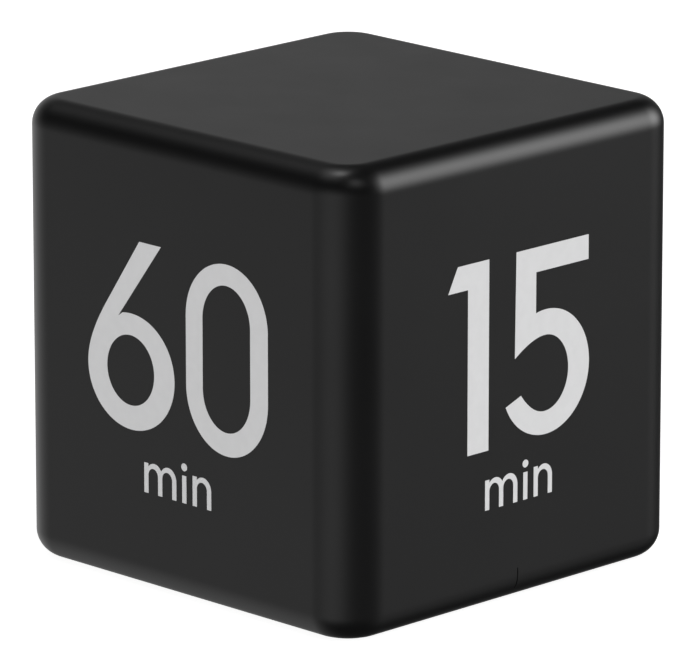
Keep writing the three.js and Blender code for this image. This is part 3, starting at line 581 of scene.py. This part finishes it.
finishes["steel"] = metal("nickelled_steel", (0.52, 0.51, 0.49), (0.63, 0.62, 0.6), 0.24, (1, 1, 1))
finishes["can_metal"] = metal("tinned_can", (0.5, 0.5, 0.48), (0.6, 0.6, 0.58), 0.33, (0.08, 1, 1))
finishes["brass"] = metal("rolled_brass", (0.62, 0.44, 0.17), (0.76, 0.57, 0.26), 0.27, (1, 0.06, 1))


# %% Circuit board: solder mask over copper tracks
def solder_mask():
    """Green lacquer that is lighter over the copper. The tracks are the thin borders of cells that
    are measured along the axes, so they run straight and turn square corners."""
    material, tree, shader = finish_of("solder_mask", 0.28, IOR=1.5)
    place = tree.nodes.new("ShaderNodeTexCoord")
    cells = tree.nodes.new("ShaderNodeTexVoronoi")
    cells.feature, cells.distance = "F2", "CHEBYCHEV"
    cells.inputs["Scale"].default_value = 1 / (4 * MM)
    tree.links.new(place.outputs["Object"], cells.inputs["Vector"])
    track = between(tree, math_node(tree, "PINGPONG", cells.outputs["Distance"], 0.12), 0, 1, (0.05, 0.065))
    green = colours(tree, track, (0.008, 0.062, 0.026), (0.022, 0.15, 0.06), (0, 1))
    tree.links.new(green, shader.inputs["Base Color"])
    bumped(tree, shader, track, 0.03)
    return material


# %% Sleeved cell: a printed plastic film round the can
def cell_print():
    """A two-colour print: a copper band round the positive end, and a graphite body with flakes.
    The cells lie along X, the other way round from each other, so the band is told by position:
    the cells' two axes lie on either side of a line between them."""
    material, tree, shader = finish_of("cell_sleeve_print", 0.22, Metallic=0.7)
    place = tree.nodes.new("ShaderNodeTexCoord")
    parts = tree.nodes.new("ShaderNodeSeparateXYZ")
    tree.links.new(place.outputs["Object"], parts.inputs["Vector"])
    first_cell = math_node(tree, "LESS_THAN", parts.outputs["Y"], CELL_LINE_Y)
    turned_way = math_node(tree, "MULTIPLY_ADD", first_cell, 2.0, -1.0)
    along = math_node(tree, "MULTIPLY", parts.outputs["X"], turned_way)
    copper_starts = 12 * MM
    band = math_node(tree, "GREATER_THAN", along, copper_starts)
    flakes = noise(tree, 0.35, 4)
    body = colours(tree, flakes, (0.03, 0.032, 0.036), (0.055, 0.057, 0.062))
    copper = colours(tree, flakes, (0.5, 0.2, 0.07), (0.62, 0.27, 0.1))
    mix = tree.nodes.new("ShaderNodeMix")
    mix.data_type = "RGBA"
    tree.links.new(band, mix.inputs["Factor"])
    # a Mix node has sockets for each kind of data: its colours are inputs 6 and 7, and output 2
    tree.links.new(body, mix.inputs[6])
    tree.links.new(copper, mix.inputs[7])
    tree.links.new(mix.outputs[2], shader.inputs["Base Color"])
    bumped(tree, shader, noise(tree, 3, 3), 0.02)
    return material


# %% Elastomer, ceramic and reflector
def elastomer():
    """The connector strip is a stack of thin dark and light silicone layers along X."""
    material, tree, shader = finish_of("layered_silicone", 0.6)
    place = tree.nodes.new("ShaderNodeTexCoord")
    layers = tree.nodes.new("ShaderNodeTexWave")
    layers.wave_type, layers.bands_direction = "BANDS", "X"
    layers.inputs["Scale"].default_value = 1 / (2 * MM)
    layers.inputs["Distortion"].default_value = 0.4
    tree.links.new(place.outputs["Object"], layers.inputs["Vector"])
    grey = colours(tree, layers.outputs["Fac"], (0.03, 0.03, 0.032), (0.6, 0.58, 0.55))
    tree.links.new(grey, shader.inputs["Base Color"])
    bumped(tree, shader, layers.outputs["Fac"], 0.01)
    return material


finishes["elastomer"] = elastomer()
finishes["ceramic"] = satin_plastic("silvered_ceramic", (0.6, 0.59, 0.55), (0.74, 0.73, 0.69),
                                    0.4, 0.2, 0.004)
finishes["reflector_film"] = satin_plastic("reflector_film", (0.43, 0.46, 0.4), (0.49, 0.52, 0.45),
                                           0.33, 0.1, 0.002)


# %% Window and display glass
def clear(name, tint, roughness, ior):
    """A transparent solid with a faint waviness, as a moulded or floated sheet has."""
    material, tree, shader = finish_of(name, roughness, IOR=ior, Transmission_Weight=1.0)
    high = tuple(min(1.0, part + 0.02) for part in tint)
    tree.links.new(colours(tree, noise(tree, 12, 2), tint, high), shader.inputs["Base Color"])
    bumped(tree, shader, noise(tree, 6, 2), 0.004)
    return material


finishes["clear_window"] = clear("clear_acrylic", (0.93, 0.95, 0.94), 0.02, 1.49)
finishes["display_glass"] = clear("display_glass", (0.86, 0.9, 0.84), 0.03, 1.52)

# %% Finishes that need the parts' places
CELL_LINE_Y = (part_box("cell_1")[1].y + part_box("cell_2")[0].y) / 2
finishes["board_laminate"] = solder_mask()
finishes["cell_sleeve"] = cell_print()
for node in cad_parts.values():
    for place_in_list, worn in enumerate(node.data.materials):
        node.material_slots[place_in_list].material = finishes[worn.name.split(".")[0]]
print("finishes:", sorted(finishes))

# %% [markdown]
# ## Softened mouldings
# A CAD edge is perfectly sharp, but a moulded or pressed edge is rounded by a tenth of a
# millimetre or so, and it is that edge which catches the light. The parts which are seen from
# below or through the battery door get such edges. The CAD mesh is copied and merged, flat
# areas are joined, and a Bevel modifier rounds what is left. The copy then stands for the part.

# %% A softened copy of a CAD part
SMALLEST_EDGE = 0.5 * MM
FLAT_ANGLE, SHARP_ANGLE = math.radians(1), math.radians(32)


def softened(node, width_mm, body):
    """Merges a copy's loose triangles, joins those which are flat together, and rounds the sharp
    edges. The short facets of the smallest holes stay sharp, as a core pin leaves them."""
    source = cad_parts[node]
    mesh = source.data.copy()
    mesh.name = node + "_soft"
    work = bmesh.new()
    work.from_mesh(mesh)
    bmesh.ops.remove_doubles(work, verts=work.verts, dist=1e-6)
    bmesh.ops.dissolve_limit(work, angle_limit=FLAT_ANGLE, verts=work.verts, edges=work.edges)
    weight = work.edges.layers.float.new("bevel_weight_edge")
    for edge in work.edges:
        is_sharp = len(edge.link_faces) == 2 and edge.calc_face_angle() > SHARP_ANGLE
        rounds = is_sharp and edge.calc_length() > SMALLEST_EDGE
        edge[weight] = float(rounds)
        edge.smooth = rounds or not is_sharp
    for face in work.faces:
        face.smooth = True
    work.to_mesh(mesh)
    work.free()
    made = bpy.data.objects.new(node + "_soft", mesh)
    bpy.context.scene.collection.objects.link(made)
    bevel = made.modifiers.new("edges", "BEVEL")
    bevel.width, bevel.segments, bevel.limit_method = width_mm * MM, 2, "WEIGHT"
    bevel.miter_outer, bevel.face_strength_mode = "MITER_ARC", "FSTR_ALL"
    flats = made.modifiers.new("flats", "WEIGHTED_NORMAL")
    flats.mode, flats.weight, flats.use_face_influence = "FACE_AREA", 50, True
    flats.keep_sharp = True
    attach(made, body)
    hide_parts(node)
    return made


# node, width of its rounded edges in mm, body and slot
soft_parts = [("bottom_cover", 0.15, "case", "case_plastic"),
              ("battery_door", 0.12, "battery_door", "case_plastic"),
              ("switch_knob", 0.1, "volume_switch", "knob_plastic")]
soft_parts += [("cover_screw_%d" % number, 0.06, "case", "steel") for number in range(1, 5)]
for node, width, body, slot in soft_parts:
    piece = softened(node, width, body)
    print("softened", node, len(piece.data.polygons), "faces")

# %% [markdown]
# ## Small prints and the display
# The face the timer stands on carries all that is used rarely: the display, the volume switch
# and the battery door. Its window has a black border printed behind it, which hides the ledge of
# the glass. The display's figures are etched electrodes. They show as a faint grey when the
# timer is off, so each figure is seven thin bars between the two plates of glass.

# %% Shapes for them
BELOW_ACROSS, BELOW_UP = (-1, 0, 0), (0, 1, 0)


def rounded(w, h, r, cx=0.0, cy=0.0):
    """A rectangle with round corners, about a middle."""
    corners = [(1, -1, -90), (1, 1, 0), (-1, 1, 90), (-1, -1, 180)]
    return outline(*[arc(cx + sx * (w / 2 - r), cy + sy * (h / 2 - r), r, r, start, start + 90)
                     for sx, sy, start in corners])


def bar(x0, y0, x1, y1, thick):
    """One bar of a figure: a strip between two points, pointed at both ends."""
    start, end = np.array([x0, y0]), np.array([x1, y1])
    along = (end - start) / np.linalg.norm(end - start)
    side = np.array([-along[1], along[0]]) * thick / 2
    inset = along * thick / 2
    return np.array([start, start + inset + side, end - inset + side,
                     end, end - inset - side, start + inset - side])


def figure(cx, cy, w, h, thick, gap=0.12):
    """Seven bars round two squares, one above the other, with a small gap where they meet."""
    x, y = w / 2, h / 2
    ends = [(-x, y, x, y), (-x, 0, x, 0), (-x, -y, x, -y),
            (-x, 0, -x, y), (x, 0, x, y), (-x, -y, -x, 0), (x, -y, x, 0)]
    bars = []
    for x0, y0, x1, y1 in ends:
        pull = np.sign([x1 - x0, y1 - y0]) * gap
        bars.append(bar(cx + x0 + pull[0], cy + y0 + pull[1],
                        cx + x1 - pull[0], cy + y1 - pull[1], thick))
    return bars


# %% Border, mask and figures
window_low, window_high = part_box("display_window")
glass_low, glass_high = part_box("display_glass_front")
window_y = (window_low.y + window_high.y) / 2
FIGURES_Y = -1.1
border_loops = [rounded(37.4, 19, 1.4), rounded(33.6, 13.2, 1, cy=FIGURES_Y)]
border = printed("window_border", border_loops, BELOW_ACROSS, BELOW_UP,
                 (0, window_y, window_high.z + 0.02 * MM), 0.01 * MM)
mask_loops = [rounded(36.4, 18.4, 0.8), rounded(32, 11.8, 0.6, cy=FIGURES_Y)]
mask = printed("display_mask", mask_loops, BELOW_ACROSS, BELOW_UP,
               (0, window_y, glass_high.z + 0.01 * MM), 0.005 * MM)
figures = sum([figure(x, FIGURES_Y, 4.6, 8.6, 0.85) for x in (-11.4, -4.6, 4.6, 11.4)], [])
colon = [rounded(1, 1, 0.3, 0, FIGURES_Y + dy) for dy in (-1.9, 1.9)]
segments = printed("display_figures", figures + colon, BELOW_ACROSS, BELOW_UP,
                   (0, window_y, glass_high.z + 0.01 * MM), 0.004 * MM)
black_print = satin_plastic("black_print", (0.006, 0.006, 0.006), (0.009, 0.009, 0.009), 0.3)
ghost_grey = satin_plastic("idle_electrode", (0.3, 0.325, 0.28), (0.34, 0.365, 0.315), 0.3)
for piece, material in ((border, black_print), (mask, black_print), (segments, ghost_grey)):
    dress(piece, material)
print("display: %d bars" % len(figures))


# %% Switch marks
def word(text, size, at):
    """A word beside the switch, printed on the cover and read from below."""
    letters = bpy.data.curves.new("mark_" + text, "FONT")
    letters.body, letters.size, letters.align_x, letters.align_y = text, size, "LEFT", "CENTER"
    letters.extrude = 0.01
    shape = flat_mesh("mark_" + text, letters)
    return laid("mark_" + text, shape, BELOW_ACROSS, BELOW_UP, at, "case")


knob_low, knob_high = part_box("switch_knob")
MARK_X, FIRST_MARK_Y, MARK_PITCH = -19.35 * MM, 9.4 * MM, 1.5 * MM
for step, text in enumerate(("OFF", "LO", "HI")):
    mark = word(text, 1.25, (MARK_X, FIRST_MARK_Y + step * MARK_PITCH, 0))
    dress(mark, print_grey)

# %% [markdown]
# Inside the battery door the moulding shows which way round the cells go: an outline of each
# cell, with its signs. Outside, an arrow head shows which way the latch is pulled.

# %% Door marks
door_low, door_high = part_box("battery_door")
DOOR_FACE, DOOR_THICK = door_low.z, 1.3 * MM
cell_lines = []
for node, way in (("cell_1", 1), ("cell_2", -1)):
    low, high = (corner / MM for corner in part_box(node))
    middle_y = (low.y + high.y) / 2
    cell_lines += [rounded(38, 7.4, 0.6, 0, middle_y), rounded(37, 6.4, 0.3, 0, middle_y)]
    cell_lines += [rounded(0.8, 2.6, 0.2, way * 19.4, middle_y)]
    plus_x, minus_x = way * 14, way * -14
    cell_lines += [run(*[(plus_x + 0.3 * a + 1.2 * b, middle_y + 0.3 * c + 1.2 * d) for a, b, c, d in (
        (1, 0, 0, 1), (1, 0, 1, 0), (0, 1, 1, 0), (0, 1, -1, 0), (1, 0, -1, 0), (1, 0, 0, -1),
        (-1, 0, 0, -1), (-1, 0, -1, 0), (0, -1, -1, 0), (0, -1, 1, 0), (-1, 0, 1, 0), (-1, 0, 0, 1))])]
    cell_lines += [rounded(0.6, 2.4, 0.1, minus_x, middle_y)]
polarity = printed("door_cell_signs", cell_lines, (1, 0, 0), (0, 1, 0),
                   (0, 0, DOOR_FACE + DOOR_THICK + 0.05 * MM), 0.07 * MM, "battery_door")
arrow = printed("door_arrow", [run((-1.6, -6.2), (1.6, -6.2), (0, -8.6))], (1, 0, 0), (0, 1, 0),
                (0, 0, DOOR_FACE), 0.04 * MM, "battery_door")
for piece in (polarity, arrow):
    dress(piece, case_black)

# %% [markdown]
# ### Cells
# A cell is a can in a printed sleeve, whose ends are rolled over a washer. It is a turned shape,
# so its profile is carried round the axis. The second cell lies the other way round.

# %% Turn the two cells
cell_profile = [(0.02, 0), (3.9, 0), (4, 0.15), (4.7, 0.15), (4.95, 0.03), (5.17, 0.14),
                (5.25, 0.4), (5.25, 43.1), (5.17, 43.36), (4.95, 43.47), (4.7, 43.38),
                (4.45, 43.1), (2.25, 43.1), (2, 43.3), (1.9, 43.6), (1.86, 44.2), (1.72, 44.44),
                (1.5, 44.5), (0.02, 44.5)]
for node, axis in (("cell_1", "X"), ("cell_2", "-X")):
    low, high = (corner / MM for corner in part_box(node))
    start_x = low.x if axis == "X" else high.x
    centre = (start_x, (low.y + high.y) / 2, (low.z + high.z) / 2)
    points = turned(cell_profile, 72, centre, axis)
    piece = put_mesh(node + "_turned", points, turned_faces(72, len(cell_profile)))
    dress(piece, finishes["cell_sleeve"])
    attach(piece, "case")
    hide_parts(node)
    print(piece.name, len(piece.data.polygons), "faces")

# %% [markdown]
# ### Board details
# On a real board each part stands in a white outline, printed to guide assembly, and each wire
# ends in a cone of solder. The outlines follow the parts' own boxes, and the cones are turned.

# %% Outlines round the parts, and solder
BOARD_TOP = 9.6 * MM
outlined = ["boost_coil", "capacitor", "crystal", "transistor", "sensor_x_case", "sensor_y_case",
            "resistor_1", "resistor_2", "resistor_3", "resistor_4"]
LINE = 0.18
print_loops = []
for node in outlined:
    low, high = (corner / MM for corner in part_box(node))
    w, h = high.x - low.x + 0.7, high.y - low.y + 0.7
    middle = (low.x + high.x) / 2, (low.y + high.y) / 2
    print_loops += [rounded(w, h, 0.25, *middle), rounded(w - 2 * LINE, h - 2 * LINE, 0.1, *middle)]
board_print = printed("board_outlines", print_loops, (1, 0, 0), (0, 1, 0),
                      (0, 0, BOARD_TOP + 0.01 * MM), 0.015 * MM)
dress(board_print, print_grey)

solder_profile = [(0.02, -0.02), (1.15, -0.02), (1.12, 0.1), (0.98, 0.28), (0.8, 0.55),
                  (0.66, 0.85), (0.58, 1.0), (0.02, 1.04)]
# where the two battery wires and the two sounder wires meet the board, in mm
wire_ends = [(17.8, 6.2), (19.4, 10.6), (16.5, 25.5), (19, 25.5)]
cones = [turned_part(solder_profile, 28, (x, y, BOARD_TOP / MM)) for x, y in wire_ends]
solder = put_mesh("solder_joints", *gather(cones))
dress(solder, finishes["can_metal"])
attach(solder, "case")
print("board: %d outlines, %d joints" % (len(outlined), len(wire_ends)))

# %% [markdown]
# ## Floor, light and camera
# Small products are often put on a light table: a sheet of white acrylic, lit from below, which
# leaves hardly any shadow. The floor here is such a sheet. A black satin cube is drawn almost
# only by what it mirrors, so the surroundings are a dim studio with a few soft panels in it.
# Panels could be lamps, but one world shader that adds them by direction is easier to adjust.

# %% Light table
TABLE_GLOW = 1.0


def make_table():
    """A square sheet that lies at the height the timer stands on, a little lit from below."""
    size = 6.0
    corners = np.array([[-size, -size, 0], [size, -size, 0], [size, size, 0], [-size, size, 0]])
    corners[:, 2] = cad_box[0][2]
    table = put_mesh("floor", corners, [[0, 1, 2, 3]], closed=False)
    material, tree, shader = finish_of("white_acrylic", 0.9)
    grain = noise(tree, 60, 4)
    base = colours(tree, grain, (0.34, 0.34, 0.34), (0.36, 0.36, 0.36))
    glow = colours(tree, grain, (0.93, 0.93, 0.93), (0.95, 0.95, 0.95))
    tree.links.new(base, shader.inputs["Base Color"])
    tree.links.new(glow, shader.inputs["Emission Color"])
    shader.inputs["Emission Strength"].default_value = TABLE_GLOW
    dress(table, material)
    table.visible_glossy = False
    return table


table = make_table()


# %% The studio as a world shader
def panel_glow(tree, azimuth, elevation, at, size, strength):
    """A soft panel in the room: strength times e to the minus (distance / size) to the power 2.4,
    with the distance measured apart in azimuth and in elevation, in degrees."""
    def part(angle, centre, width, wraps):
        turn = math_node(tree, "SUBTRACT", angle, math.radians(centre))
        if wraps:
            turn = math_node(tree, "WRAP", turn, math.pi, -math.pi)
        share = math_node(tree, "DIVIDE", turn, math.radians(width))
        return math_node(tree, "POWER", math_node(tree, "ABSOLUTE", share), 2.4)
    far = math_node(tree, "ADD", part(azimuth, at[0], size[0], True),
                    part(elevation, at[1], size[1], False))
    fall = math_node(tree, "EXPONENT", math_node(tree, "MULTIPLY", far, -1.0))
    return math_node(tree, "MULTIPLY", fall, strength)


panels = [
    # azimuth from the "60" face towards the "15" face, elevation; half sizes; strength
    ((149, 17.5), (22, 18.6), 5.75),
    ((68, 50), (17, 15), 1.4),
    ((8, -12), (34, 24), 0.76),
    ((65, -14), (60, 22), 0.13),
    ((292, -28), (38, 30), 0.66),
    ((138, -24), (26, 20), 0.27),
    ((245, -8), (33, 32), 0.5),
    ((300, 74), (62, 23), 1.3),
    ((293, 80), (52, 8), 4.4),
]
ROOM_GLOW = 0.03
ROOM_LIGHT = 0.35


def studio():
    """What the timer mirrors is the dim room with its panels. The camera sees a white room, and
    matte surfaces are lit by an even, pale one."""
    world = bpy.data.worlds.new("studio")
    world.use_nodes = True
    world.cycles.sampling_method = "NONE"
    bpy.context.scene.world = world
    tree = world.node_tree
    place = tree.nodes.new("ShaderNodeTexCoord")
    parts = tree.nodes.new("ShaderNodeSeparateXYZ")
    tree.links.new(place.outputs["Generated"], parts.inputs["Vector"])
    towards_15, towards_20, up = parts.outputs["X"], parts.outputs["Y"], parts.outputs["Z"]
    azimuth = math_node(tree, "ARCTAN2", towards_15, math_node(tree, "MULTIPLY", towards_20, -1.0))
    elevation = math_node(tree, "ARCSINE", up)
    glow = ROOM_GLOW
    for at, size, strength in panels:
        glow = math_node(tree, "ADD", panel_glow(tree, azimuth, elevation, at, size, strength), glow)
    path = tree.nodes.new("ShaderNodeLightPath")
    pale = math_node(tree, "MULTIPLY_ADD", path.outputs["Is Camera Ray"], 1.0 - ROOM_LIGHT, ROOM_LIGHT)
    mix = tree.nodes.new("ShaderNodeMix")
    tree.links.new(path.outputs["Is Glossy Ray"], mix.inputs["Factor"])
    tree.links.new(pale, mix.inputs["A"])
    tree.links.new(glow, mix.inputs["B"])
    tree.links.new(mix.outputs["Result"], tree.nodes["Background"].inputs["Color"])


studio()


# %% One large soft lamp overhead
def soft_sun(name, azimuth, elevation, spread, strength):
    """Even light from a direction in degrees, as from a very large panel far away."""
    lamp = bpy.data.lights.new(name, "SUN")
    lamp.angle, lamp.energy = math.radians(spread), strength
    made = bpy.data.objects.new(name, lamp)
    a, e = math.radians(azimuth), math.radians(elevation)
    back = Vector((math.sin(a) * math.cos(e), -math.cos(a) * math.cos(e), math.sin(e)))
    made.rotation_euler = (-back).to_track_quat("-Z", "Y").to_euler()
    made.visible_glossy = False
    bpy.context.scene.collection.objects.link(made)
    return made


soft_sun("overhead", 100, 60, 60, 1.5)

# %% Camera
def look(azimuth, elevation, distance, width, target):
    """A camera on a long lens, so far away that width metres at the target fill the picture."""
    camera = bpy.data.cameras.new("camera")
    camera.sensor_width = 36
    camera.lens = camera.sensor_width * distance / width
    camera.clip_start, camera.clip_end = 0.05, 30
    made = bpy.data.objects.new("camera", camera)
    a, e = math.radians(azimuth), math.radians(elevation)
    back = Vector((math.sin(a) * math.cos(e), -math.cos(a) * math.cos(e), math.sin(e)))
    made.location = target + back * distance
    made.rotation_euler = (-back).to_track_quat("-Z", "Y").to_euler()
    bpy.context.scene.collection.objects.link(made)
    bpy.context.scene.camera = made
    return made


CAMERA_AZIMUTH, CAMERA_ELEVATION, CAMERA_DISTANCE = 45.0, 15.04, 0.9988
PICTURE_WIDTH = 94.2 * MM
BELOW_MIDDLE = 1.16 * MM
elevation = math.radians(CAMERA_ELEVATION)
picture_up = Vector((-math.sin(math.radians(45)) * math.sin(elevation),
                     math.cos(math.radians(45)) * math.sin(elevation), math.cos(elevation)))
aim = Vector((0, 0, TOP / 2)) - picture_up * BELOW_MIDDLE
look(CAMERA_AZIMUTH, CAMERA_ELEVATION, CAMERA_DISTANCE, PICTURE_WIDTH, aim)
bpy.context.scene.view_settings.view_transform = "Standard"
